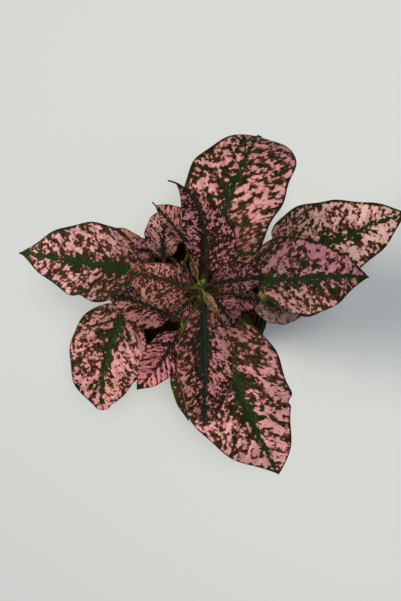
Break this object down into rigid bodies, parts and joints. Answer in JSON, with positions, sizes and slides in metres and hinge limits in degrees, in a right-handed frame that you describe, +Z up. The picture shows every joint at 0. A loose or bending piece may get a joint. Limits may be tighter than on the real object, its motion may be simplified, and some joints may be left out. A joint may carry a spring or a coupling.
{
  "type": "potted polka dot plant",
  "caption": "Young polka dot plant with pink-splashed dark green leaves in opposite pairs, growing in dark soil in a small round black plastic pot.",
  "frame": {"origin": "centre of the flat foot that the pot stands on", "axes": "+Z up out of the pot; +X towards the east leaves and +Y towards the north leaves, which point right and up when seen from above"},
  "size_m": [0.2098, 0.1918, 0.1436],
  "materials": {
    "pot": "black, slightly satin",
    "soil": "dark damp potting mix of peat and bark fibre",
    "stems": "green to olive soft young stem",
    "leaf": "soft satin leaf, dark green splashed with pink",
    "young_leaf": "olive to beige young leaf"
  },
  "bodies": {
    "root": {"pot": "pot", "soil": "soil", "stems": "stems", "leaf_north": "leaf", "leaf_east_low": "leaf", "leaf_east": "leaf", "leaf_south_low": "leaf", "leaf_south": "leaf", "leaf_southwest": "leaf", "leaf_west": "leaf", "leaf_north_top": "leaf", "leaf_west_top": "leaf", "leaf_east_top": "leaf", "leaf_northwest": "leaf", "leaf_northwest_round": "leaf", "leaf_northwest_narrow": "leaf", "leaf_west_low": "leaf", "leaf_northwest_low": "leaf", "leaf_west_middle": "leaf", "leaf_southwest_small": "leaf", "leaf_south_hidden": "leaf", "leaf_east_round": "leaf", "leaf_east_small": "leaf", "leaf_southeast_top": "leaf", "leaf_southwest_top": "leaf", "leaf_northwest_top": "leaf", "young_leaf_north": "young_leaf", "young_leaf_south": "young_leaf"}
  },
  "joints": []
}
